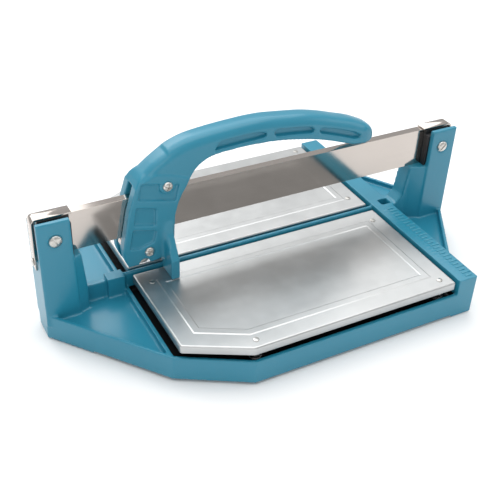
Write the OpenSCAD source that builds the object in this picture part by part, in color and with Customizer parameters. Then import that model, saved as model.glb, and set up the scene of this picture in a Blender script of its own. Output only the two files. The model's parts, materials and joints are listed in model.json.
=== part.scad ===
// Push tile cutter: cast base with two sprung plates, one flat guide bar on two
// posts, and an arched handle whose carriage rolls along the bar.
// X runs along the bar, Y is front (-) to back (+), Z is up, the feet stand on Z = 0.

/* [Sprung plates] */
// Length of each plate along the bar
plate_l = 275; // [200:1:400]
// Depth of each plate, front to back
plate_d = 142; // [110:1:220]
// Sheet thickness of the plates
plate_t = 1.5; // [1:0.1:3]
// Height of the turned-down plate edge
plate_lip = 8; // [5:0.5:9]
// Height of the plate tops above the bench
plate_z = 42; // [40:0.5:50]
// Open strip between the two plates
plate_gap = 11.4; // [9:0.2:16]
// Length along the bar of the cut-off plate corners
corner_x = 57; // [30:1:80]
// Depth of the cut-off plate corners
corner_y = 30; // [15:1:50]
// Distance from the plate edge to the raised bead
bead_inset = 17; // [12:1:26]
// Width of the raised bead
bead_w = 8; // [4:0.5:12]

/* [Base casting] */
// Height of the skirt
skirt_h = 27; // [25:1:28]
// Wall thickness of the casting
wall = 4; // [3:0.5:5]
// Height of the tray floor under the plates
tray_z = 20; // [18:0.5:21]
// Width of the measuring rail
rail_w = 21; // [18:0.5:26]
// Height of the measuring rail
rail_z = 44; // [44:0.5:48]
// Clearance between the plates and the rail
rail_gap = 2.5; // [1:0.5:4]
// Width of the breaking ridge between the plates
ridge_w = 4; // [3:0.2:6]
// Height of the wing floors
wing_z = 22; // [21:0.5:24]

/* [Posts and guide bar] */
// Thickness of the guide bar
bar_t = 8.2; // [7:0.2:10]
// Height of the guide bar
bar_h = 40; // [35:1:45]
// Height of the bar's underside above the bench
bar_z = 85.7; // [84:0.1:100]
// Distance from the end of the plates to the outer face of a post
wing_l = 87.5; // [85:0.5:120]
// Width of a post along the bar
post_w = 32; // [28:1:38]
// Depth of a post, front to back
post_d = 33; // [33:1:40]
// Wall beside the slot at the head of a post
post_wall = 5; // [4:0.5:6]
// Thickness of the end straps
strap_t = 1.6; // [1:0.1:2.5]
// Width of the end straps
strap_w = 12; // [9:0.5:12]

/* [Handle and carriage] */
// Width of the grip across its flats
grip_w = 26; // [24:0.5:32]
// Width of the carriage cheeks, outside to outside
cheek_w = 28; // [26:0.5:34]
// Width of the breaking foot
foot_w = 61; // [40:1:80]
// Height of the breaking foot above the plates
foot_gap = 1; // [0.8:0.1:3]
// Radius of the upper roller
roller_top_r = 9.5; // [8:0.1:10]
// Radius of the lower roller
roller_low_r = 8; // [7:0.1:8.5]
// Radius of the scoring wheel
wheel_r = 7; // [5:0.5:8]

/* [Fits] */
// Running clearance of pins and shafts, on the radius
run_fit = 0.06; // [0.02:0.01:0.1]
// Gap between a roller and the guide bar
roller_gap = 0.3; // [0.2:0.05:0.5]
// Gap on each side of the bar inside the carriage
cheek_gap = 0.5; // [0.4:0.05:1]

/* [Hidden] */
$fn = 48;

// plates
half_gap = plate_gap / 2;
plate_x = plate_l / 2;
plate_y = half_gap + plate_d;
bead_h = 0.6;
lip_fit = 2.3;
pin_r = 3;
neck_r = 1.5;
rivet_r = 2.8;
rivet_h = 0.5;
pin_bottom = 10.4;
clip_t = 1;
clip_r = 5.5;
clip_z = 12.8;
groove_r = 2.3;
boss_r = 7;
boss_z = clip_z + clip_t + 0.1;
spring_r = 5.4;
spring_wire = 0.7;
pin_inset = 12.5;
pin_back = 18.3;
pin_front = 10;
pin_spots = [[-plate_x + pin_inset, half_gap + pin_back], [plate_x - pin_inset, half_gap + pin_back],
             [plate_x - pin_inset, plate_y - pin_front], [-plate_x + corner_x + 6, plate_y - pin_front]];

// base
skirt_y = plate_y + lip_fit;
skirt_z = 2.5;
cast_foot_z = 1;
tray_left = plate_x + 3.5;
post_x = plate_x + wing_l;
shoulder_y = corner_y + 6;
rail_x = plate_x + rail_gap;
rail_out = rail_x + rail_w;
cavity_z = 16;
tip_y = 12;
front_corner = -plate_x + corner_x + 0.5;
shoulder = [-tray_left - 2.5, skirt_y - shoulder_y];
wing_join = skirt_y - 32;
outline = [[rail_out, -skirt_y], [rail_out, -wing_join], [post_x, -tip_y - 2], [post_x, tip_y + 2],
           [rail_out, wing_join], [rail_out, skirt_y], [front_corner, skirt_y], shoulder,
           [-post_x, tip_y], [-post_x, -tip_y], [shoulder.x, -shoulder.y], [front_corner, -skirt_y]];
corner_slope = shoulder_y / (front_corner - shoulder.x);
tray_corner = skirt_y - corner_slope * (front_corner + tray_left + wall);
tray = [[rail_x + wall, -skirt_y], [rail_x + wall, skirt_y], [front_corner, skirt_y],
        [-tray_left - wall, tray_corner], [-tray_left - wall, -tray_corner], [front_corner, -skirt_y]];
ridge_z = plate_z + 0.6;
web_w = 5;
web_z = plate_z - 2;
block_w = 12;
block_l = 17;
block_z = plate_z + 1;
notch_w = 10;
notch_x = 11;
notch_z = rail_z - 11;
tick_pitch = 5;
tick_h = 0.4;
tick_w = 0.9;
foot_r = 7;
foot_h = 4;
foot_spots = [[-post_x + 19, -14], [-post_x + 19, 14],
              [rail_x + rail_w / 2, skirt_y - 12], [rail_x + rail_w / 2, -skirt_y + 12]];

// posts and bar
bar_top = bar_z + bar_h;
post_in = post_x - post_w;
post_top = bar_top + 1.3;
rear_top = bar_top - 8;
slot_w = post_d - 2 * post_wall;
bar_end = post_x - 4;
screw_x = post_x - 16;
screw_z = bar_z + 22.1;
screw_r = 3;
head_r = 6;
head_h = 3.2;
nut_r = 5.8;
nut_h = 5;
pedestal_w = 18;
pedestal_end = 16;
liner_fit = 0.1;
liner_low_top = bar_z + 34.6;
liner_top_w = 12.6;
liner_out = 0.5;
strap_in = post_in - 3;
strap_bottom = bar_z - 11;
strap_bend = 5;
strap_screw_z = bar_z - 5;
strap_screw_r = 2;
strap_head_r = 3.5;
strap_head_h = 1.8;

// carriage, in the X-Z plane at rest
inner_w = bar_t + 2 * cheek_gap;
left = -plate_x;
axle_r = 2.5;
axle_head_r = 4.8;
axle_head_h = 2.8;
axle_nut_r = 4.6;
axle_nut_h = 4;
roller_w = inner_w - 2.2;
roller_room = 1.5;
holder_w = inner_w - 0.6;
wheel_w = 2;
wheel_slot = wheel_w + 0.6;
wheel_pin_r = 1.5;
top_axle = [left + 34.7, bar_top + roller_gap + roller_top_r];
low_axle = [left - 1, bar_z - roller_gap - roller_low_r];
holder_axle = [left + 15.2, bar_z - 15.9];
wheel_axle = [left + 10.5, plate_z + wheel_r + 6.5];
arch_r = 5.5;
low_axle_seat = 3.8;
low_axle_end = inner_w / 2 + low_axle_seat;
foot_z = plate_z + foot_gap;
foot_x = [left + 30.5, left + 38.8];
foot_end = 20;
foot_neck = 42;
foot_top = 60;
slot_roof = bar_top + 12.8;
slot_sill = foot_z + 23;
nose_x = left + 262.5 - grip_w / 2;
grip_top = up([[6, 15.3], [10, 21.3], [16, 25.8], [24.5, 32.3], [38, 40.8], [51.1, 46.1],
               [62.9, 48.8], [86.8, 51.3], [111.5, 52.6], [123.5, 52.9], [136.5, 52.5],
               [149.1, 51.1], [175.5, 47.7], [188.9, 45], [202.8, 41.3], [217, 36.6],
               [231.5, 32.1], [246.5, 25.7], [255.5, 20.5], [260.8, 14.5], [262.5, 9.3], [260, 5.2]]);
grip_under = up([[249.5, 5], [231.9, 8.6], [209, 16.7], [189.9, 22.6], [171.5, 26.6],
                 [153.5, 29.7], [132.5, 31.7], [102.5, 31.9], [80, 30], [67.5, 24.3],
                 [60, 16.3], [54.4, 5.6], [49.7, -1.9], [45, -12.2]]);
cheek = concat(up([[42, -23.4]]), mid([[40.5, -10.7]]), [[foot_x.y, foot_z + 15],
               [left - 5.5, foot_z + 14]], mid([[-9, -19.7], [-10, -8.7]]), up([[-2.9, -10.7], [4.5, 13.3]]));
cheek_cap = up([[6.5, 14.3], [16, 21.3], [26.6, 22.9], [42.1, 18.2], [56.5, 12.8], [53.7, 5.6],
                [49.2, -1.9], [45, -11.2]]);
grip_pockets = [up([[81.5, 34.3], [87.5, 42.8], [109.5, 44.3], [127.5, 43.8], [135, 41.3],
                    [135, 37.3], [129.5, 36.3], [112.5, 35.8]]),
                up([[143.1, 40.8], [146.4, 42.9], [166.8, 40.8], [184, 37.3], [187, 34.3],
                    [186.2, 30.2], [167.5, 32.9], [145.5, 35]]),
                up([[193.2, 31.3], [195.8, 33.8], [216.3, 28.3], [234.4, 21.3], [241.5, 16.3],
                    [242, 13.2], [235.5, 13.2], [217.3, 20.1], [195.5, 27.7]])];
cheek_pockets = [up([[4.5, -6.2], [1.5, -24.2], [22.8, -29.7], [23.3, -11.2]]),
                 mid([[0.5, 11.3], [-3.5, -9.7], [6.5, -11.7], [20.5, -6.7], [23.5, 4.8]]),
                 up([[10, 17.3], [6.5, 1.3], [42.5, -7.7], [46.5, 8.8]])];
grip_pocket_depth = 4.5;
cheek_pocket_depth = 2.5;
boss_top_r = 7.5;
beyond = 40;

steel = [0.72, 0.70, 0.68];
blue = [0.20, 0.52, 0.66];
zinc = [0.66, 0.67, 0.67];
black = [0.06, 0.06, 0.07];

function unit(v) = v / norm(v);

// X-Z points measured from the plates' left end and from the bar's top or its underside
function up(p) = [for (q = p) [left + q.x, bar_top + q.y]];
function mid(p) = [for (q = p) [left + q.x, bar_z + q.y]];

// the outline p, counter-clockwise, moved inwards by d with mitred corners
function inset(p, d) = [for (i = [0 : len(p) - 1])
    let (n = len(p), a = p[(i + n - 1) % n], b = p[i], c = p[(i + 1) % n],
         u = unit(b - a), w = unit(c - b), m = [-u.y - w.y, u.x + w.x])
    b + d * m / (1 + u * w)];

// a smooth curve through the points p, k steps between neighbours
function curve(p, k = 4) = [for (i = [0 : len(p) - 2], j = [0 : k - 1])
    let (t = j / k, a = p[max(i - 1, 0)], b = p[i], c = p[i + 1], d = p[min(i + 2, len(p) - 1)])
    0.5 * (2 * b + (c - a) * t + (2 * a - 5 * b + 4 * c - d) * t * t
           + (3 * b - a - 3 * c + d) * t * t * t)];

// the front plate's outline, moved inwards by d
function plate_outline(d = 0) = inset([[-plate_x, -half_gap], [-plate_x, -plate_y + corner_y],
    [-plate_x + corner_x, -plate_y], [plate_x, -plate_y], [plate_x, -half_gap]], d);

module slab(z0, z1) {
    translate([0, 0, z0]) linear_extrude(z1 - z0) children();
}

// an X-Z outline given a width across Y, centred on the bar
module across(w) {
    rotate([90, 0, 0]) translate([0, 0, -w / 2]) linear_extrude(w) children();
}

// a cylinder across Y through the point p of the X-Z plane
module cross_pin(p, r, y0, y1) {
    translate([p.x, y1, p.y]) rotate([90, 0, 0]) cylinder(r = r, h = y1 - y0);
}

module both_ends() {
    children();
    mirror([1, 0, 0]) children();
}

module rear() {
    mirror([0, 1, 0]) children();
}

module box(x0, x1, w, z0, z1) {
    translate([x0, -w / 2, z0]) cube([x1 - x0, w, z1 - z0]);
}

// ---- base
module post_solid() {
    difference() {
        across(post_d) polygon([[post_in, cavity_z], [post_x, cavity_z], [post_x, post_top],
                                [post_in + 1.5, post_top]]);
        box(post_in - 5, post_x + 5, slot_w, bar_z, post_top + 1);
        // the rear wall is lower than the front one
        translate([post_in - 5, slot_w / 2 - 0.1, rear_top]) cube([post_w + 10, post_wall + 1, 20]);
        cross_pin([screw_x, screw_z], screw_r + run_fit, -post_d, post_d);
        translate([post_x - 12, 0, strap_screw_z]) rotate([0, 90, 0])
            cylinder(r = strap_screw_r + run_fit, h = 20);
    }
}

// the pedestals narrow from the posts' width to their own
module pedestal_plan() {
    polygon([[post_in + 1, 1 - post_d / 2], [post_in + 1, post_d / 2 - 1],
             [post_in - pedestal_end, pedestal_w / 2], [post_in - 2 * pedestal_end, pedestal_w / 2],
             [post_in - 2 * pedestal_end, -pedestal_w / 2], [post_in - pedestal_end, -pedestal_w / 2]]);
}

module pedestals() {
    intersection() {
        across(post_d) polygon([[post_in + 1, cavity_z], [post_in + 1, bar_z],
            [post_in - pedestal_end, bar_z], [post_in - 21, 52], [post_in - 28, rail_z],
            [rail_out - 1, rail_z], [rail_out - 1, cavity_z]]);
        slab(cavity_z, bar_z) pedestal_plan();
    }
    mirror([1, 0, 0]) intersection() {
        across(post_d) polygon([[post_in + 1, cavity_z], [post_in + 1, bar_z], [post_in - 6.7, bar_z],
            [post_in - 10.5, 45], [post_in - 10.5, cavity_z]]);
        slab(cavity_z, bar_z) pedestal_plan();
    }
}

module rail() {
    slab(cavity_z, rail_z) translate([rail_x, -skirt_y]) square([rail_w, 2 * skirt_y]);
    for (i = [3 : floor((skirt_y - 4) / tick_pitch)])
        translate([rail_x + 4, -i * tick_pitch - tick_w / 2, rail_z - 0.1])
            cube([i % 2 == 0 ? rail_w - 8 : rail_w - 12, tick_w, tick_h + 0.1]);
}

module deck() {
    difference() {
        slab(skirt_z, skirt_h) polygon(outline);
        slab(tray_z, skirt_h + 1) polygon(inset(tray, wall));
        slab(wing_z, skirt_h + 1) intersection() {
            polygon(inset(outline, wall));
            union() {
                translate([-post_x - 1, -skirt_y]) square([post_x + 1 - tray_left - wall, 2 * skirt_y]);
                translate([rail_out, -skirt_y]) square([post_x - rail_out, 2 * skirt_y]);
            }
        }
        slab(0, cavity_z) polygon(inset(outline, wall));
    }
    slab(cast_foot_z, skirt_z + 1) difference() {
        polygon(outline);
        polygon(inset(outline, wall));
        translate([-post_x + 31, -skirt_y]) square([post_x - 31 + rail_x - 2, 2 * skirt_y]);
        translate([rail_x - 3, -skirt_y + 22]) square([post_x, 2 * skirt_y - 44]);
    }
}

module base_casting() {
    color(blue) difference() {
        union() {
            deck();
            rail();
            both_ends() post_solid();
            pedestals();
            box(-tray_left - wall, rail_x + 1, ridge_w, tray_z - 1, ridge_z - ridge_w / 2);
            translate([-tray_left - wall, 0, ridge_z - ridge_w / 2]) rotate([0, 90, 0])
                cylinder(r = ridge_w / 2, h = tray_left + wall + rail_x + 1);
            box(-post_in - 1, -tray_left - wall - block_l + 1, web_w, cavity_z, web_z);
            box(-tray_left - wall - block_l, -tray_left - wall + 0.1, block_w, cavity_z, block_z);
            for (s = pin_spots, m = [-1, 1]) translate([s.x, m * s.y, boss_z])
                cylinder(r = boss_r, h = tray_z - boss_z);
            for (s = foot_spots) translate([s.x, s.y, cast_foot_z])
                cylinder(r = foot_r + 2.5, h = cavity_z - cast_foot_z + 1);
        }
        for (s = pin_spots, m = [-1, 1]) translate([s.x, m * s.y, 0])
            cylinder(r = pin_r + run_fit, h = tray_z + 1);
        for (s = foot_spots) translate([s.x, s.y, 0])
            cylinder(r = foot_r + run_fit, h = foot_h + 0.05);
        box(rail_out - notch_x, rail_out + 0.1, notch_w, notch_z, rail_z + 1);
    }
}

module rubber_feet() {
    color(black) for (s = foot_spots) translate([s.x, s.y, 0]) cylinder(r = foot_r, h = foot_h);
}

// ---- plates
module plate() {
    color(zinc) difference() {
        union() {
            slab(plate_z - plate_lip, plate_z) polygon(plate_outline());
            slab(plate_z - 0.1, plate_z + bead_h) difference() {
                polygon(plate_outline(bead_inset));
                polygon(plate_outline(bead_inset + bead_w));
            }
        }
        slab(plate_z - plate_lip - 1, plate_z - plate_t) polygon(plate_outline(plate_t));
        for (s = pin_spots) translate([s.x, -s.y, plate_z - plate_t - 1])
            cylinder(r = neck_r + 0.05, h = plate_t + 2);
    }
}

module plate_pins() {
    color(steel) for (s = pin_spots) translate([s.x, -s.y, 0]) difference() {
        union() {
            translate([0, 0, pin_bottom]) cylinder(r = pin_r, h = plate_z - plate_t - pin_bottom);
            translate([0, 0, pin_bottom]) cylinder(r = neck_r, h = plate_z + rivet_h - pin_bottom);
            translate([0, 0, plate_z]) cylinder(r = rivet_r, h = rivet_h);
        }
        translate([0, 0, clip_z - 0.1]) difference() {
            cylinder(r = pin_r + 1, h = clip_t + 0.2);
            cylinder(r = groove_r, h = clip_t + 0.2);
        }
    }
}

module clips() {
    color(steel) for (s = pin_spots) translate([s.x, -s.y, clip_z]) difference() {
        cylinder(r = clip_r, h = clip_t);
        translate([0, 0, -1]) cylinder(r = groove_r + 0.05, h = clip_t + 2);
    }
}

// a coil spring from z0 to z1 round the Z axis
module coil(z0, z1, turns = 4, steps = 10, sides = 5) {
    n = turns * steps;
    lift = (z1 - z0 - 2 * spring_wire) / n;
    ring = [for (i = [0 : n], j = [0 : sides - 1])
        let (a = 360 * i / steps, b = 360 * j / sides, r = spring_r + spring_wire * cos(b))
        [r * cos(a), r * sin(a), z0 + spring_wire + lift * i + spring_wire * sin(b)]];
    walls = [for (i = [0 : n - 1], j = [0 : sides - 1])
        let (k = (j + 1) % sides, a = i * sides)
        [a + j, a + k, a + k + sides, a + j + sides]];
    ends = [[for (j = [sides - 1 : -1 : 0]) j], [for (j = [0 : sides - 1]) n * sides + j]];
    polyhedron(ring, concat(walls, ends), convexity = 10);
}

module springs() {
    color(steel) for (s = pin_spots) translate([s.x, -s.y, 0]) coil(tray_z + 0.1, plate_z - plate_t - 0.1);
}

// ---- bar and its fixings
module guide_bar() {
    color(steel) difference() {
        box(-bar_end, bar_end, bar_t, bar_z, bar_top);
        both_ends() cross_pin([screw_x, screw_z], screw_r + run_fit, -bar_t, bar_t);
    }
}

module bar_liner() {
    color(black) difference() {
        union() {
            box(post_in - liner_out, bar_end, slot_w - 2 * liner_fit, bar_z, liner_low_top);
            box(post_in - liner_out, bar_end, liner_top_w, bar_z, bar_top - 0.3);
        }
        box(post_in - 6, post_x, bar_t + 2 * liner_fit, bar_z - 1, bar_top + 1);
        cross_pin([screw_x, screw_z], screw_r + run_fit, -post_d, post_d);
    }
}

module end_strap() {
    x1 = post_x + strap_t;
    color(steel) difference() {
        across(strap_w) difference() {
            union() {
                translate([strap_in, bar_top]) square([x1 - strap_bend - strap_in, strap_t]);
                translate([post_x, strap_bottom])
                    square([strap_t, bar_top + strap_t - strap_bend - strap_bottom]);
                translate([x1 - strap_bend, bar_top + strap_t - strap_bend]) intersection() {
                    difference() {
                        circle(r = strap_bend);
                        circle(r = strap_bend - strap_t);
                    }
                    square(strap_bend);
                }
            }
        }
        translate([post_x - 1, 0, strap_screw_z]) rotate([0, 90, 0])
            cylinder(r = strap_screw_r + run_fit, h = strap_t + 2);
    }
}

module strap_screws() {
    color(steel) both_ends() translate([post_x - 10, 0, strap_screw_z]) rotate([0, 90, 0]) {
        cylinder(r = strap_screw_r, h = 10 + strap_t);
        translate([0, 0, 10 + strap_t]) cylinder(r = strap_head_r, h = strap_head_h);
    }
}

module bar_screws() {
    color(steel) both_ends() {
        cross_pin([screw_x, screw_z], screw_r, -post_d / 2 - 0.5, post_d / 2 + nut_h + 1);
        difference() {
            cross_pin([screw_x, screw_z], head_r, -post_d / 2 - head_h, -post_d / 2);
            translate([screw_x - 0.7, -post_d / 2 - head_h - 1, screw_z - head_r])
                cube([1.4, 2.2, 2 * head_r]);
        }
    }
}

module bar_nuts() {
    color(steel) both_ends() translate([screw_x, post_d / 2 + nut_h, screw_z]) rotate([90, 0, 0])
        difference() {
            cylinder(r = nut_r, h = nut_h, $fn = 6);
            translate([0, 0, -1]) cylinder(r = screw_r + 0.05, h = nut_h + 2);
        }
}

// ---- handle and carriage
// plan of the grip, with a round nose
module grip_plan() {
    translate([left - beyond, -grip_w / 2]) square([nose_x - left + beyond, grip_w]);
    translate([nose_x, 0]) circle(r = grip_w / 2);
}

// room between the cheeks for the bar, the upper roller and the wheel holder
module carriage_slot() {
    x0 = left - beyond;
    x1 = left + 2 * beyond;
    across(inner_w) polygon([[x0, 0], [foot_x.x - 1.5, 0], [foot_x.x - 1.5, slot_sill], [x1, slot_sill],
        [x1, bar_top + 3], [top_axle.x + roller_top_r + roller_room, bar_top + 3],
        [top_axle.x + roller_top_r + roller_room, top_axle.y + roller_top_r + roller_room],
        [top_axle.x - roller_top_r - 1, top_axle.y + roller_top_r + roller_room],
        [top_axle.x - roller_top_r - 1, slot_roof], [x0, slot_roof]]);
}

module breaker_foot() {
    w = cheek_w / 2;
    translate([foot_x.x, 0, foot_z]) rotate([90, 0, 90]) linear_extrude(foot_x.y - foot_x.x)
        polygon([[-foot_w / 2, 0], [foot_w / 2, 0], [foot_w / 2, foot_end], [w + 3, foot_neck],
                 [w - 1, foot_top], [1 - w, foot_top], [-w - 3, foot_neck], [-foot_w / 2, foot_end]]);
}

module side_pocket(w, depth) {
    translate([0, -w / 2 + depth, 0]) rotate([90, 0, 0]) linear_extrude(10) children();
}

module handle_casting() {
    color(blue) difference() {
        union() {
            intersection() {
                across(grip_w) polygon(concat(curve(grip_top), [grip_top[len(grip_top) - 1]],
                                              curve(grip_under), cheek));
                slab(0, bar_top + 120) grip_plan();
            }
            across(cheek_w) polygon(concat(cheek_cap, cheek));
            breaker_foot();
        }
        carriage_slot();
        // step over the ridge and the web's block
        box(foot_x.x - 1, foot_x.y + 1, block_w + 2, 0, foot_z + 7);
        for (m = [0, 1]) mirror([0, m, 0]) {
            for (p = grip_pockets) side_pocket(grip_w, grip_pocket_depth) polygon(p);
            for (p = cheek_pockets) side_pocket(cheek_w, cheek_pocket_depth) difference() {
                polygon(p);
                translate(top_axle) circle(r = boss_top_r);
            }
        }
        cross_pin([wheel_axle.x, foot_z + 14], arch_r, -cheek_w, cheek_w);
        for (p = [top_axle, holder_axle]) cross_pin(p, axle_r + run_fit, -cheek_w, cheek_w);
        // the lower axle goes in from the rear
        cross_pin(low_axle, axle_r + run_fit, -low_axle_end - 0.1, cheek_w);
    }
}

module carriage_screw(p) {
    color(steel) {
        cross_pin(p, axle_r, -cheek_w / 2 - 0.5, cheek_w / 2 + axle_nut_h + 1);
        difference() {
            cross_pin(p, axle_head_r, -cheek_w / 2 - axle_head_h, -cheek_w / 2);
            translate([p.x - axle_head_r, -cheek_w / 2 - axle_head_h - 1, p.y - 0.6])
                cube([2 * axle_head_r, 2, 1.2]);
        }
    }
}

module carriage_nuts() {
    color(steel) for (p = [top_axle, holder_axle])
        translate([p.x, cheek_w / 2 + axle_nut_h, p.y]) rotate([90, 0, 0]) difference() {
            cylinder(r = axle_nut_r, h = axle_nut_h, $fn = 6);
            translate([0, 0, -1]) cylinder(r = axle_r + 0.05, h = axle_nut_h + 2);
        }
}

module roller(p, r) {
    color(steel) difference() {
        cross_pin(p, r, -roller_w / 2, roller_w / 2);
        cross_pin(p, axle_r + run_fit, -roller_w, roller_w);
    }
}

module lower_axle() {
    color(steel) cross_pin(low_axle, axle_r, -low_axle_end, cheek_w / 2 - cheek_pocket_depth);
}

module wheel_holder() {
    a = holder_axle;
    w = wheel_axle;
    color(steel) difference() {
        across(holder_w) polygon([[a.x - 5.7, a.y + 4.2], [a.x + 6.8, a.y + 4.2], [a.x + 6.8, a.y - 8],
            [w.x + 5, w.y - 4], [w.x - 5, w.y - 4], [w.x - 6, w.y + 6]]);
        across(wheel_slot) translate([w.x, w.y]) circle(r = wheel_r + 1.2);
        cross_pin(a, axle_r + run_fit, -20, 20);
        cross_pin(w, wheel_pin_r + 0.02, -20, 20);
    }
}

module scoring_wheel() {
    color(zinc) translate([wheel_axle.x, 0, wheel_axle.y]) rotate([90, 0, 0])
        rotate_extrude() polygon([[wheel_pin_r + run_fit, -wheel_w / 2], [wheel_r - 1.2, -wheel_w / 2],
            [wheel_r, 0], [wheel_r - 1.2, wheel_w / 2], [wheel_pin_r + run_fit, wheel_w / 2]]);
}

module wheel_pin() {
    color(steel) cross_pin(wheel_axle, wheel_pin_r, -holder_w / 2, holder_w / 2);
}

base_casting();
rubber_feet();
plate();  // front_plate
rear() plate();  // rear_plate
plate_pins();  // front_plate_pins
rear() plate_pins();  // rear_plate_pins
springs();  // front_springs
rear() springs();  // rear_springs
clips();  // front_clips
rear() clips();  // rear_clips
guide_bar();
mirror([1, 0, 0]) bar_liner();  // bar_liner_left
bar_liner();  // bar_liner_right
mirror([1, 0, 0]) end_strap();  // end_strap_left
end_strap();  // end_strap_right
strap_screws();
bar_screws();
bar_nuts();
handle_casting();
carriage_screw(top_axle);  // upper_axle_screw
roller(top_axle, roller_top_r);  // upper_roller
lower_axle();
roller(low_axle, roller_low_r);  // lower_roller
wheel_holder();
carriage_screw(holder_axle);  // holder_screw
carriage_nuts();
scoring_wheel();
wheel_pin();
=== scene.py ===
import json
import math

import bmesh
import bpy
from mathutils import Matrix, Vector, kdtree
from mathutils.bvhtree import BVHTree


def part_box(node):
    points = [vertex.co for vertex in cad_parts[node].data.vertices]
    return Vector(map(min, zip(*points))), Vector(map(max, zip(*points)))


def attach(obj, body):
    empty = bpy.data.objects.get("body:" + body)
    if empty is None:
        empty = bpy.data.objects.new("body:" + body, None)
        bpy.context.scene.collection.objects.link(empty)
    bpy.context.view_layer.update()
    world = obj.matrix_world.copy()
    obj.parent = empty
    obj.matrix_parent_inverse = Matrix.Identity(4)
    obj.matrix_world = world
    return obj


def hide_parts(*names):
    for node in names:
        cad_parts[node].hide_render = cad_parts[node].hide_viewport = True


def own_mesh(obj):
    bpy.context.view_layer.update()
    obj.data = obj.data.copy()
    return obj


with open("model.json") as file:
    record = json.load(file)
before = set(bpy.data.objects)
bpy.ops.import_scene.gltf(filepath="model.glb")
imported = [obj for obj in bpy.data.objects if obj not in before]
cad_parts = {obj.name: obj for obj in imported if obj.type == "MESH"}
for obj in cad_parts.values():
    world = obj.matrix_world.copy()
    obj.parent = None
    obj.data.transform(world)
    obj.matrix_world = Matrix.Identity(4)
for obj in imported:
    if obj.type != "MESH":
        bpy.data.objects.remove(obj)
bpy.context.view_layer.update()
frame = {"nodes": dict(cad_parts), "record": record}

scene = bpy.context.scene
mm = 0.001
for name in ("Cube", "Light", "Camera"):
    if name in bpy.data.objects:
        bpy.data.objects.remove(bpy.data.objects[name])
bodyOf = {node: body for body, nodes in frame["record"]["behaviour"]["bodies"].items() for node in nodes}
slotOf = {part["node"]: part["material_slot"] for part in frame["record"]["subparts"]}

plateLow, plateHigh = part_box("front_plate")
print("frame loaded:", len(frame["nodes"]), "nodes")


# shader arithmetic
class Wire:
    # one output socket of a material, with sums on it
    def __init__(self, tree, socket=None):
        self.tree = tree
        self.socket = socket

    def make(self, kind, settings=None, inputs=None, out=0):
        node = self.tree.nodes.new(kind)
        for name, value in (settings or {}).items():
            if name == "stops":
                ends = node.color_ramp.elements
                ends[0].position, ends[0].color = value[0]
                ends[1].position, ends[1].color = value[-1]
                for place, colour in value[1:-1]:
                    ends.new(place).color = colour
            else:
                setattr(node, name, value)
        for name, value in (inputs or {}).items():
            if isinstance(value, Wire):
                self.tree.links.new(value.socket, node.inputs[name])
            else:
                node.inputs[name].default_value = value
        return Wire(self.tree, node.outputs[out] if len(node.outputs) else None)

    def sum(self, operation, first, second):
        return self.make("ShaderNodeMath", {"operation": operation}, {0: first, 1: second})

    def __add__(self, other):
        return self.sum("ADD", self, other)

    def __radd__(self, other):
        return self.sum("ADD", other, self)

    def __sub__(self, other):
        return self.sum("SUBTRACT", self, other)

    def __rsub__(self, other):
        return self.sum("SUBTRACT", other, self)

    def __mul__(self, other):
        return self.sum("MULTIPLY", self, other)

    def __rmul__(self, other):
        return self.sum("MULTIPLY", other, self)


def startMaterial(name):
    material = bpy.data.materials.new(name)
    material.use_nodes = True
    material.node_tree.nodes.clear()
    start = Wire(material.node_tree)
    place = start.make("ShaderNodeTexCoord", out="Object")
    return material, start, place


def endMaterial(start, **sockets):
    names = {"color": "Base Color", "metallic": "Metallic", "roughness": "Roughness", "normal": "Normal",
             "coat": "Coat Weight", "coatRoughness": "Coat Roughness"}
    shader = start.make("ShaderNodeBsdfPrincipled", {}, {names[key]: value for key, value in sockets.items()})
    start.make("ShaderNodeOutputMaterial", {}, {"Surface": shader})


def noise(place, scale, detail=3.0, rough=0.5, stretch=(1, 1, 1)):
    moved = place.make("ShaderNodeMapping", {}, {"Vector": place, "Scale": stretch})
    return place.make("ShaderNodeTexNoise", {},
                      {"Vector": moved, "Scale": scale, "Detail": detail, "Roughness": rough})


def ramp(wire, stops):
    return wire.make("ShaderNodeValToRGB", {"stops": stops}, {"Fac": wire})


def between(mask, low, high):
    return mask.make("ShaderNodeMapRange", {}, {"Value": mask, "To Min": low, "To Max": high})


def bump(height, strength, distance):
    return height.make("ShaderNodeBump", {}, {"Height": height, "Strength": strength, "Distance": distance})


def blend(mask, low, high):
    return mask.make("ShaderNodeMix", {"data_type": "RGBA"}, {0: mask, 6: low, 7: high}, out=2)


# the lighter edge colour and its Pointiness range make a painted highlight on sharp edges
paint = {"deep": (0.014, 0.205, 0.312, 1), "light": (0.022, 0.245, 0.362, 1),
         "edgeHighlight": (0.09, 0.36, 0.47, 1), "roughness": (0.26, 0.40), "coat": 0.22, "coatRoughness": 0.18,
         "cloudScale": 9, "peelScale": 150, "grainScale": 620, "bump": (0.20, 0.0005),
         "highlightPointiness": (0.53, 0.60), "highlightMost": 0.45, "highlightRagged": 0.03}
# the well under the plates is coloured black: painted shade
recess = {"left": -0.1416, "right": 0.1406, "side": 0.1466, "slope": 0.567, "corner": -0.080,
          "cornerSide": 0.146, "floor": 0.018, "rim": 0.026, "black": (0.006, 0.006, 0.007, 1)}


def recessMask(place):
    # 1 where the surface lies in the well under the plates, the area that is painted black as shade
    axes = [place.make("ShaderNodeSeparateXYZ", {}, {"Vector": place}, out=i) for i in range(3)]
    x, y, z = axes
    aside = y.sum("ABSOLUTE", y, 0.0)
    tests = [x.sum("GREATER_THAN", x, recess["left"]), x.sum("LESS_THAN", x, recess["right"]),
             aside.sum("LESS_THAN", aside, recess["side"]), z.sum("GREATER_THAN", z, recess["floor"]),
             z.sum("LESS_THAN", z, recess["rim"]),
             x.sum("LESS_THAN", aside - (x - recess["corner"]) * recess["slope"], recess["cornerSide"])]
    mask = tests[0]
    for test in tests[1:]:
        mask = mask * test
    return mask


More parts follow.
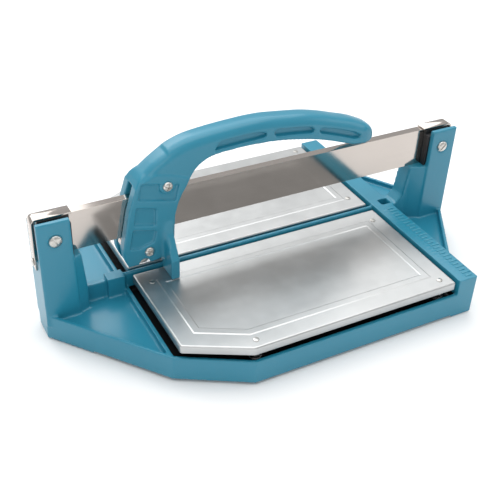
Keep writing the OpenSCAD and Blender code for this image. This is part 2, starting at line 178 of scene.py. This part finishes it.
def makePaint():
    material, start, place = startMaterial("blueEnamel")
    clouds = noise(place, paint["cloudScale"], 4, 0.55)
    peel = noise(place, paint["peelScale"], 2, 0.4)
    grain = noise(place, paint["grainScale"], 3, 0.6)
    # sharp edges (high Pointiness) are painted lighter as a painted highlight, with a ragged border from the
    # grain
    edge = start.make("ShaderNodeNewGeometry", out="Pointiness") + (grain - 0.5) * paint["highlightRagged"]
    thin, fullHighlight = paint["highlightPointiness"]
    paintedHighlight = start.make("ShaderNodeMapRange", {}, {"Value": edge, "From Min": thin, "From Max": fullHighlight,
                                                 "To Min": 0.0, "To Max": paint["highlightMost"]})
    enamel = blend(paintedHighlight, blend(clouds, paint["deep"], paint["light"]), paint["edgeHighlight"])
    # the well under the plates takes the black colour as painted shade
    color = blend(recessMask(place), enamel, recess["black"])
    endMaterial(start, color=color, roughness=between(clouds * 0.6 + grain * 0.4, *paint["roughness"]),
                coat=paint["coat"], coatRoughness=paint["coatRoughness"],
                normal=bump(peel * 0.7 + grain * 0.3, *paint["bump"]))
    return material


zinc = {"dull": (0.50, 0.51, 0.51, 1), "bright": (0.57, 0.58, 0.58, 1), "roughness": (0.32, 0.42),
        "cloudScale": 24, "streakScale": 60, "spangleScale": 110, "scratchScale": 420,
        "bump": (0.10, 0.0002)}


def makeZinc():
    material, start, place = startMaterial("galvanisedSheet")
    clouds = noise(place, zinc["cloudScale"], 3, 0.5)
    streaks = noise(place, zinc["streakScale"], 4, 0.6, (0.12, 1, 1))
    spangle = start.make("ShaderNodeTexVoronoi", {"feature": "SMOOTH_F1"},
                         {"Vector": place, "Scale": zinc["spangleScale"]}, out="Color")
    cell = start.make("ShaderNodeSeparateColor", {}, {"Color": spangle})
    mottle = clouds * 0.50 + streaks * 0.30 + cell * 0.20
    scratches = noise(place, zinc["scratchScale"], 2, 0.5, (0.03, 1, 1))
    color = ramp(mottle, [(0.30, zinc["dull"]), (0.66, zinc["bright"])])
    endMaterial(start, color=color, metallic=1.0, roughness=between(mottle, *zinc["roughness"]),
                normal=bump(scratches * 0.5 + streaks * 0.5, *zinc["bump"]))
    return material


steel = {"dull": (0.53, 0.485, 0.45, 1), "bright": (0.58, 0.53, 0.495, 1), "roughness": (0.08, 0.14),
         "lineScale": 900, "cloudScale": 16}


def makeSteel():
    # ground along the bar's length, so its lines run along X
    material, start, place = startMaterial("groundSteel")
    lines = noise(place, steel["lineScale"], 3, 0.6, (0.012, 1, 1))
    clouds = noise(place, steel["cloudScale"], 3, 0.5)
    color = ramp(lines * 0.35 + clouds * 0.65, [(0.3, steel["dull"]), (0.7, steel["bright"])])
    rough = between(clouds * 0.7 + lines * 0.3, *steel["roughness"])
    endMaterial(start, color=color, metallic=1.0, roughness=rough)
    return material


# small pieces: two tones of a fine grain, given as (scale, detail, roughness) of its noise
grained = {"zincPlatedSteel": {"grain": (500, 3, 0.5), "tones": (70, 2, 0.5), "dull": (0.50, 0.49, 0.46, 1),
                               "bright": (0.74, 0.73, 0.70, 1), "metallic": 1.0,
                               "roughness": (0.20, 0.38), "bump": (0.08, 0.0002)},
           "springWire": {"grain": (700, 3, 0.5), "dull": (0.20, 0.20, 0.21, 1),
                          "bright": (0.38, 0.38, 0.39, 1), "metallic": 1.0,
                          "roughness": (0.30, 0.45), "bump": (0.1, 0.0002)},
           "groundCarbide": {"grain": (1200, 3, 0.5), "dull": (0.22, 0.23, 0.25, 1),
                             "bright": (0.40, 0.41, 0.43, 1), "metallic": 1.0,
                             "roughness": (0.18, 0.34), "bump": (0.08, 0.0001)},
           "blackRubber": {"grain": (900, 3, 0.6), "dull": (0.012, 0.012, 0.012, 1),
                           "bright": (0.028, 0.028, 0.027, 1), "metallic": 0.0,
                           "roughness": (0.68, 0.88), "bump": (0.25, 0.0003)},
           "blackNylon": {"grain": (600, 2, 0.5), "dull": (0.010, 0.010, 0.011, 1),
                          "bright": (0.020, 0.020, 0.022, 1), "metallic": 0.0,
                          "roughness": (0.36, 0.52), "bump": (0.10, 0.0002)}}


def makeGrained(name):
    finish = grained[name]
    material, start, place = startMaterial(name)
    grain = noise(place, *finish["grain"])
    tones = noise(place, *finish["tones"]) if "tones" in finish else grain
    color = ramp(tones, [(0.3, finish["dull"]), (0.7, finish["bright"])])
    endMaterial(start, color=color, metallic=finish["metallic"],
                roughness=between(grain, *finish["roughness"]), normal=bump(grain, *finish["bump"]))
    return material


materials = {"blue_paint": makePaint(), "plate_zinc": makeZinc(), "bar_steel": makeSteel(),
             "fastener_steel": makeGrained("zincPlatedSteel"), "spring_steel": makeGrained("springWire"),
             "carbide": makeGrained("groundCarbide"), "black_rubber": makeGrained("blackRubber"),
             "black_plastic": makeGrained("blackNylon")}
print("materials made:", len(materials))


# helpers for pieces; lengths are in millimetres and angles in degrees
meshing = {"weld": 0.002, "flatAngle": 0.4, "turnWeld": 0.01, "easeFactor": 0.5, "evenWeight": 60}


def putPiece(name, bm):
    mesh = bpy.data.meshes.new(name)
    bm.to_mesh(mesh)
    bm.free()
    piece = bpy.data.objects.new(name, mesh)
    scene.collection.objects.link(piece)
    return piece


def copyNode(node, flat=True):
    bm = bmesh.new()
    bm.from_mesh(frame["nodes"][node].data)
    bmesh.ops.remove_doubles(bm, verts=bm.verts, dist=meshing["weld"] * mm)
    if flat:
        angle = math.radians(meshing["flatAngle"])
        bmesh.ops.dissolve_limit(bm, angle_limit=angle, verts=bm.verts, edges=bm.edges)
    return bm


def bake(piece):
    bpy.context.view_layer.update()
    graph = bpy.context.evaluated_depsgraph_get()
    mesh = bpy.data.meshes.new_from_object(piece.evaluated_get(graph))
    piece.modifiers.clear()
    piece.data = mesh
    mesh.name = piece.name


def smoothFaces(piece):
    for polygon in piece.data.polygons:
        polygon.use_smooth = True


def cut(piece, cutters):
    for cutter in cutters:
        modifier = piece.modifiers.new("cut", "BOOLEAN")
        modifier.operation = "DIFFERENCE"
        modifier.solver = "EXACT"
        modifier.object = cutter
    bake(piece)
    for cutter in cutters:
        bpy.data.objects.remove(cutter)


def finishPiece(piece, *nodes):
    smoothFaces(piece)
    piece.data.materials.clear()
    piece.data.materials.append(materials[slotOf[nodes[0]]])
    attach(piece, bodyOf[nodes[0]])
    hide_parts(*nodes)


def softEdges(piece, width, segments=3, angle=28):
    modifier = piece.modifiers.new("soft edges", "BEVEL")
    modifier.width = width * mm
    modifier.segments = segments
    modifier.limit_method = "ANGLE"
    modifier.angle_limit = math.radians(angle)
    modifier.harden_normals = True
    modifier.use_clamp_overlap = True


def softCopy(name, node, width, segments=2):
    piece = putPiece(name, copyNode(node))
    finishPiece(piece, node)
    softEdges(piece, width, segments)
    return piece


def castSkin(piece, voxel, rounds, keep=None):
    # a cast part has every edge and inside corner rounded
    skin = piece.modifiers.new("skin", "REMESH")
    skin.mode = "VOXEL"
    skin.voxel_size = voxel * mm
    ease = piece.modifiers.new("ease", "SMOOTH")
    ease.factor = meshing["easeFactor"]
    ease.iterations = rounds
    smoothFaces(piece)
    if keep:
        thinOut(piece, keep)
        even = piece.modifiers.new("even", "WEIGHTED_NORMAL")
        even.keep_sharp = False
        even.weight = meshing["evenWeight"]
    bake(piece)


def thinOut(piece, keep):
    thin = piece.modifiers.new("thin", "DECIMATE")
    thin.ratio = keep


def turned(name, profile, centre, steps=40):
    # profile points are (radius, place along Y); centre is the axis in X-Z
    bm = bmesh.new()
    points = [bm.verts.new(((centre[0] + r) * mm, y * mm, centre[1] * mm)) for r, y in profile]
    for a, b in zip(points, points[1:]):
        bm.edges.new((a, b))
    bmesh.ops.spin(bm, geom=bm.verts[:] + bm.edges[:], cent=(centre[0] * mm, 0, centre[1] * mm),
                   axis=(0, 1, 0), angle=2 * math.pi, steps=steps, use_merge=True)
    bmesh.ops.remove_doubles(bm, verts=bm.verts, dist=meshing["turnWeld"] * mm)
    bmesh.ops.recalc_face_normals(bm, faces=bm.faces)
    return putPiece(name, bm)


def blockCutter(size, place, turn=0):
    bm = bmesh.new()
    bmesh.ops.create_cube(bm, size=1)
    bmesh.ops.scale(bm, vec=[s * mm for s in size], verts=bm.verts)
    turning = Matrix.Rotation(math.radians(turn), 3, "Y")
    bmesh.ops.rotate(bm, cent=(0, 0, 0), matrix=turning, verts=bm.verts)
    bmesh.ops.translate(bm, vec=[p * mm for p in place], verts=bm.verts)
    return putPiece("cutter", bm)


# camera and light
camera = {"place": (-0.35739, -0.62710, 0.54118), "yaw": 29.14, "pitch": -35.56, "roll": 2.54,
          "lens": 62.19, "sensor": 36}


def makeCamera():
    yaw, pitch, roll = (math.radians(camera[key]) for key in ("yaw", "pitch", "roll"))
    forward = Vector((math.sin(yaw) * math.cos(pitch), math.cos(yaw) * math.cos(pitch), math.sin(pitch)))
    right = forward.cross(Vector((0, 0, 1))).normalized()
    up = right.cross(forward)
    right, up = right * math.cos(roll) + up * math.sin(roll), up * math.cos(roll) - right * math.sin(roll)
    data = bpy.data.cameras.new("camera")
    data.lens = camera["lens"]
    data.sensor_width = camera["sensor"]
    eye = bpy.data.objects.new("camera", data)
    scene.collection.objects.link(eye)
    eye.matrix_world = Matrix((right, up, -forward)).transposed().to_4x4()
    eye.location = camera["place"]
    scene.camera = eye


# each lamp's place, aim, power and size
lights = {"overhead": ((0.1, 0.5, 2.0), (0, 0, 0), 50, 3.0),
          "frontLight": ((-1.1, -1.8, 1.3), (0, 0, 0.05), 6, 1.2),
          "sideLight": ((1.9, -0.7, 1.0), (0, 0, 0.05), 3.5, 1.0),
          "backLight": ((-0.3, 1.7, 1.3), (-0.05, 0, 0.03), 10, 1.3)}
studio = {"world": 0.56, "floorHalf": 6, "floorColor": (0.93, 0.93, 0.93, 1), "floorRoughness": 0.9}


def areaLight(name, place, target, power, size):
    data = bpy.data.lights.new(name, "AREA")
    data.energy = power
    data.size = size
    lamp = bpy.data.objects.new(name, data)
    scene.collection.objects.link(lamp)
    lamp.location = place
    lamp.rotation_mode = "QUATERNION"
    lamp.rotation_quaternion = (Vector(target) - Vector(place)).to_track_quat("-Z", "Y")


def makeStage():
    world = bpy.data.worlds.new("studio")
    world.use_nodes = True
    sky = world.node_tree.nodes["Background"].inputs
    sky["Color"].default_value = (1, 1, 1, 1)
    sky["Strength"].default_value = studio["world"]
    scene.world = world
    for name, (lampPlace, aim, power, size) in lights.items():
        areaLight(name, lampPlace, aim, power, size)
    bm = bmesh.new()
    bmesh.ops.create_grid(bm, x_segments=2, y_segments=2, size=studio["floorHalf"])
    floor = putPiece("floor", bm)
    material, start, _ = startMaterial("paleFloor")
    endMaterial(start, color=studio["floorColor"], roughness=studio["floorRoughness"])
    floor.data.materials.append(material)
    scene.view_settings.view_transform = "Standard"


makeCamera()
makeStage()
print("camera and studio made")


# base casting
base = {"voxel": 1.0, "rounds": 5, "keep": 0.22, "screwX": 209, "screwZ": 107.8, "postFront": -16.5,
        "seatRadius": 7.4, "seatDepth": 0.9, "seatStart": -20, "railLeft": 150, "railTop": 44,
        "tickPitch": 5, "tickFirst": 3, "tickLast": 29, "tickHigh": 0.8, "tickWide": 2.0,
        "tickLong": 10, "tickShort": 7, "tickRound": 0.3}


def makeBase():
    piece = putPiece("baseCasting", copyNode("base_casting", flat=False))
    radius, seat = base["seatRadius"], base["postFront"] + base["seatDepth"]
    profile = [(0, base["seatStart"]), (radius, base["seatStart"]), (radius, seat), (0, seat)]
    cut(piece, [turned("seat", profile, (side * base["screwX"], base["screwZ"])) for side in (-1, 1)])
    castSkin(piece, base["voxel"], base["rounds"], base["keep"])
    finishPiece(piece, "base_casting")
    print("base casting:", len(piece.data.polygons), "faces")


def makeTicks():
    bm = bmesh.new()
    for i in range(base["tickFirst"], base["tickLast"] + 1):
        length = base["tickLong"] if i % 2 == 0 else base["tickShort"]
        centre = (base["railLeft"] + length / 2, -i * base["tickPitch"], base["railTop"])
        made = bmesh.ops.create_cube(bm, size=1)["verts"]
        # the lower half of each tick is in the rail
        size = (length * mm, base["tickWide"] * mm, base["tickHigh"] * mm * 2)
        bmesh.ops.scale(bm, vec=size, verts=made)
        bmesh.ops.translate(bm, vec=[c * mm for c in centre], verts=made)
    bmesh.ops.bevel(bm, geom=bm.edges[:], offset=base["tickRound"] * mm, segments=2, profile=0.5,
                    affect="EDGES", material=-1)
    piece = putPiece("railTicks", bm)
    smoothFaces(piece)
    piece.data.materials.append(materials["blue_paint"])
    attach(piece, "base")


makeBase()
makeTicks()


# handle casting
handle = {"voxel": 0.8, "rounds": 4, "keep": 0.45, "gripHalf": 13, "cheekHalf": 14, "cheekFrom": 0.2,
          "lineStart": -131.2, "lineEnd": 113, "step": 0.3, "lineEase": 12, "rayStart": 0.3,
          "topRound": 8.0, "topAbove": 120, "topReach": 12, "slack": 0.7, "fade": 14,
          "crown": 1.6, "crownHalf": 12, "crownStart": -100, "crownAbove": 135,
          "crownEase": 10, "easeAbove": 139, "nose": ((100, 10), (106, 16), (112, 28)),
          "footX": (-113, -103), "footY": (12.5, 24), "footZ": (45, 105), "footRounds": 50}


def gripLine(bm):
    # the grip's top line in X-Z, from the cheek to the nose, with its inward normals
    tree = BVHTree.FromBMesh(bm)
    step = handle["step"] * mm
    points = []
    x = handle["lineStart"] * mm
    while x < handle["lineEnd"] * mm:
        hit = tree.ray_cast(Vector((x, 0, handle["rayStart"])), Vector((0, 0, -1)))[0]
        points.append(hit.xz)
        # shorter steps where the line is steep keep the points evenly apart
        slope = 0 if len(points) < 2 else (points[-1].y - points[-2].y) / (points[-1].x - points[-2].x)
        x += step / math.hypot(1, slope)
    reach = handle["lineEase"]
    for turn in range(2):
        points = [sum(points[i - reach:i + reach + 1], Vector((0, 0))) / (2 * reach + 1)
                  if reach <= i < len(points) - reach else points[i] for i in range(len(points))]
    samples = []
    for i, place in enumerate(points):
        along = (points[min(i + 2, len(points) - 1)] - points[max(i - 2, 0)]).normalized()
        samples.append((place, Vector((along.y, -along.x))))
    return samples


def roundTop(bm, samples):
    # both long edges of the grip's top are rounded to one radius, and its facets are evened out
    tree = kdtree.KDTree(len(samples))
    for i, sample in enumerate(samples):
        tree.insert((sample[0].x, 0, sample[0].y), i)
    tree.balance()
    fade = handle["fade"] / handle["step"]
    slack = handle["slack"] * mm
    for vertex in bm.verts:
        x, y, z = vertex.co
        if z < handle["topAbove"] * mm:
            continue
        _, i, away = tree.find((x, 0, z))
        if away > handle["topReach"] * mm or i < 3 or i > len(samples) - 4:
            continue
        line, inward = samples[i]
        radius = handle["topRound"] * mm * min(1, (i + 4) / fade)
        onCheek = abs(y) > (handle["gripHalf"] + handle["cheekFrom"]) * mm
        half = (handle["cheekHalf"] if onCheek else handle["gripHalf"]) * mm
        deep = (Vector((x, z)) - line).dot(inward)
        out, rise = abs(y) - (half - radius), radius - deep
        settled = deep
        if out > 0 and rise > 0:
            reach = math.hypot(out, rise)
            if reach > radius - slack:
                vertex.co.y = math.copysign(half - radius + out * radius / reach, y)
                settled = radius - rise * radius / reach
        elif out <= 0 and abs(deep) < slack:
            settled = 0
        move = inward * (settled - deep)
        vertex.co.x += move.x
        vertex.co.z += move.y


def easeVerts(bm, verts, rounds):
    for turn in range(rounds):
        bmesh.ops.smooth_vert(bm, verts=verts, factor=meshing["easeFactor"], use_axis_x=True,
                              use_axis_y=True, use_axis_z=True)


def inFoot(place):
    spans = ((place.x, handle["footX"]), (abs(place.y), handle["footY"]), (place.z, handle["footZ"]))
    return all(low * mm < value < high * mm for value, (low, high) in spans)


def makeHandle():
    bm = copyNode("handle_casting")
    bm.normal_update()
    samples = gripLine(bm)
    print("grip line:", len(samples), "points from", [round(v / mm) for v in samples[0][0]],
          "to", [round(v / mm) for v in samples[-1][0]])
    piece = putPiece("handleCasting", bm)
    castSkin(piece, handle["voxel"], handle["rounds"])
    bm = bmesh.new()
    bm.from_mesh(piece.data)
    roundTop(bm, samples)
    bm.normal_update()
    # the top of the grip is crowned across its width
    for vertex in bm.verts:
        x, y, z = vertex.co
        if x > handle["crownStart"] * mm and vertex.normal.z > 0.5 and z > handle["crownAbove"] * mm:
            vertex.co.z += handle["crown"] * mm * max(0, 1 - (y / (handle["crownHalf"] * mm)) ** 2)
    onTop = [v for v in bm.verts if v.co.z > handle["easeAbove"] * mm and v.normal.z > 0.1]
    easeVerts(bm, onTop, handle["crownEase"])
    for start, rounds in handle["nose"]:
        easeVerts(bm, [v for v in bm.verts if v.co.x > start * mm], rounds)
    # the inside corner between the cheek and its foot is filled out
    easeVerts(bm, [v for v in bm.verts if inFoot(v.co)], handle["footRounds"])
    bm.to_mesh(piece.data)
    bm.free()
    thinOut(piece, handle["keep"])
    bake(piece)
    finishPiece(piece, "handle_casting")
    print("handle casting:", len(piece.data.polygons), "faces")


makeHandle()


# spring-loaded plates
plate = {"sheet": 1.5, "lip": 8, "bend": 1.8, "bendSteps": 5, "edge": 0.35, "cornerX": 57, "cornerY": 30,
         "beadInset": 17, "beadWide": 8, "beadHigh": 0.6, "beadSlope": 1.2, "level": 0.9999}


def makePlate(name, node, turn):
    x0, x1 = plateLow.x, plateHigh.x
    y0, y1 = plateLow.y, plateHigh.y
    top = plateHigh.z - plate["beadHigh"] * mm
    bm = bmesh.new()
    outline = [(x0, y1), (x0, y0 + plate["cornerY"] * mm), (x0 + plate["cornerX"] * mm, y0), (x1, y0),
               (x1, y1)]
    face = bm.faces.new([bm.verts.new((x, y, top)) for x, y in outline])
    grown = bmesh.ops.extrude_edge_only(bm, edges=bm.edges[:])["geom"]
    lowered = [g for g in grown if isinstance(g, bmesh.types.BMVert)]
    bmesh.ops.translate(bm, vec=(0, 0, -plate["lip"] * mm), verts=lowered)
    bmesh.ops.recalc_face_normals(bm, faces=bm.faces)
    if face.normal.z < 0:
        bmesh.ops.reverse_faces(bm, faces=bm.faces)
    bends = [e for e in bm.edges if len(e.link_faces) == 2]
    bmesh.ops.bevel(bm, geom=bends, offset=plate["bend"] * mm, segments=plate["bendSteps"], profile=0.5,
                    affect="EDGES", material=-1)
    bm.faces.ensure_lookup_table()
    middle = max(bm.faces, key=lambda f: f.calc_area())
    slope = plate["beadSlope"]
    for thick, rise in ((plate["beadInset"] - plate["bend"], 0), (slope, plate["beadHigh"]),
                        (plate["beadWide"] - 2 * slope, 0), (slope, -plate["beadHigh"])):
        bmesh.ops.inset_region(bm, faces=[middle], thickness=thick * mm, depth=rise * mm,
                               use_even_offset=True)
    if turn:
        bmesh.ops.scale(bm, vec=(1, -1, 1), verts=bm.verts)
        bmesh.ops.reverse_faces(bm, faces=bm.faces)
    piece = putPiece(name, bm)
    wall = piece.modifiers.new("sheet", "SOLIDIFY")
    wall.thickness = plate["sheet"] * mm
    wall.offset = -1
    softEdges(piece, plate["edge"], 2, 8)
    piece.modifiers["soft edges"].harden_normals = False
    bake(piece)
    finishPiece(piece, node)
    # level faces keep their own normal, or the bend's shading spreads over the sheet
    for polygon in piece.data.polygons:
        polygon.use_smooth = abs(polygon.normal.z) < plate["level"]


makePlate("frontPlate", "front_plate", False)
makePlate("rearPlate", "rear_plate", True)
print("plates made")


# turned screws and rollers
screws = {"dome": ((0, 1), (0.45, 0.97), (0.75, 0.82), (0.93, 0.55), (1, 0.22)), "tip": 0.5,
          "barHead": 6.0, "barHigh": 3.0, "barEnd": 22.5, "barShank": 3.0, "barSunk": 0.8,
          "barSlot": (20, 2.6, 1.5), "barTurns": (62, -42), "axleHead": 4.8, "axleHigh": 2.7,
          "axleEnd": 19, "axleShank": 2.5, "cheekFace": -14.0, "axleCross": (6.4, 2.8, 1.2)}


def panHead(radius, high, face, end, shank):
    tip = screws["tip"]
    dome = [(radius * across, face - high * up) for across, up in screws["dome"]]
    return dome + [(radius, face), (shank, face), (shank, end - tip), (shank - tip, end), (0, end)]


def centreOf(node):
    low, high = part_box(node)
    return ((low.x + high.x) / 2 / mm, (low.z + high.z) / 2 / mm)


def makeBarScrews():
    face, high = base["postFront"] + screws["barSunk"], screws["barHigh"]
    profile = panHead(screws["barHead"], high, face, screws["barEnd"], screws["barShank"])
    both = []
    for side, turn in zip((-1, 1), screws["barTurns"]):
        place = (side * base["screwX"], base["screwZ"])
        screw = turned("barScrew", profile, place)
        cut(screw, [blockCutter(screws["barSlot"], (place[0], face - high, place[1]), turn)])
        both.append(screw)
    joinPieces(both, "barScrews")
    finishPiece(both[0], "bar_screws")
    softEdges(both[0], 0.2, 2, 40)


def makeAxleScrew(name, node, turn):
    place, face, high = centreOf(node), screws["cheekFace"], screws["axleHigh"]
    profile = panHead(screws["axleHead"], high, face, screws["axleEnd"], screws["axleShank"])
    screw = turned(name, profile, place)
    middle = (place[0], face - high, place[1])
    cut(screw, [blockCutter(screws["axleCross"], middle, angle) for angle in (turn, turn + 90)])
    finishPiece(screw, node)
    softEdges(screw, 0.15, 2, 40)


def joinPieces(pieces, name):
    bm = bmesh.new()
    for piece in pieces:
        bm.from_mesh(piece.data)
    for piece in pieces[1:]:
        bpy.data.objects.remove(piece)
    bm.to_mesh(pieces[0].data)
    bm.free()
    pieces[0].name = pieces[0].data.name = name


rollers = {"bore": 2.56, "race": 4.3, "rim": 1.7, "sunk": 0.5, "corner": 0.5, "mouth": 0.3, "steps": 48}


def makeRoller(name, node):
    low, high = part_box(node)
    radius, half = (high.x - low.x) / 2 / mm, high.y / mm
    bore, race, ring = rollers["bore"], rollers["race"], radius - rollers["rim"]
    sunk, corner, mouth = half - rollers["sunk"], rollers["corner"], rollers["mouth"]
    side = [(bore, half - mouth), (bore + mouth, half), (race, half), (race, sunk), (ring, sunk),
            (ring, half), (radius - corner, half), (radius, half - corner)]
    profile = side + [(r, -y) for r, y in reversed(side)] + [side[0]]
    piece = turned(name, profile, centreOf(node), rollers["steps"])
    finishPiece(piece, node)
    softEdges(piece, 0.12, 2, 40)


makeBarScrews()
makeAxleScrew("upperAxleScrew", "upper_axle_screw", 20)
makeAxleScrew("holderScrew", "holder_screw", 50)
makeRoller("upperRoller", "upper_roller")
makeRoller("lowerRoller", "lower_roller")
print("screws and rollers made")


# plain machined parts, with broken edges
softParts = {"guideBar": ("guide_bar", 0.5, 2), "linerLeft": ("bar_liner_left", 0.4, 2),
             "linerRight": ("bar_liner_right", 0.4, 2), "strapLeft": ("end_strap_left", 0.4, 2),
             "strapRight": ("end_strap_right", 0.4, 2), "strapScrews": ("strap_screws", 0.5, 2),
             "barNuts": ("bar_nuts", 0.4, 2), "carriageNuts": ("carriage_nuts", 0.3, 2),
             "wheelHolder": ("wheel_holder", 0.4, 2), "rubberFeet": ("rubber_feet", 0.6, 3),
             "frontPins": ("front_plate_pins", 0.2, 2), "rearPins": ("rear_plate_pins", 0.2, 2)}
for name, (node, width, segments) in softParts.items():
    softCopy(name, node, width, segments)
guideBar = bpy.data.objects["guideBar"]
guideBar.modifiers["soft edges"].harden_normals = False
bake(guideBar)
for polygon in guideBar.data.polygons:
    polygon.use_smooth = False
print("machined parts made:", len(softParts))


def makeSprings(name, node):
    piece = putPiece(name, copyNode(node, flat=False))
    finishPiece(piece, node)
    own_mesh(piece)


makeSprings("frontSprings", "front_springs")
makeSprings("rearSprings", "rear_springs")
print("springs made")

# every other solid keeps its shape and takes its finish
for node, thing in frame["nodes"].items():
    thing.data.materials.clear()
    thing.data.materials.append(materials[slotOf[node]])
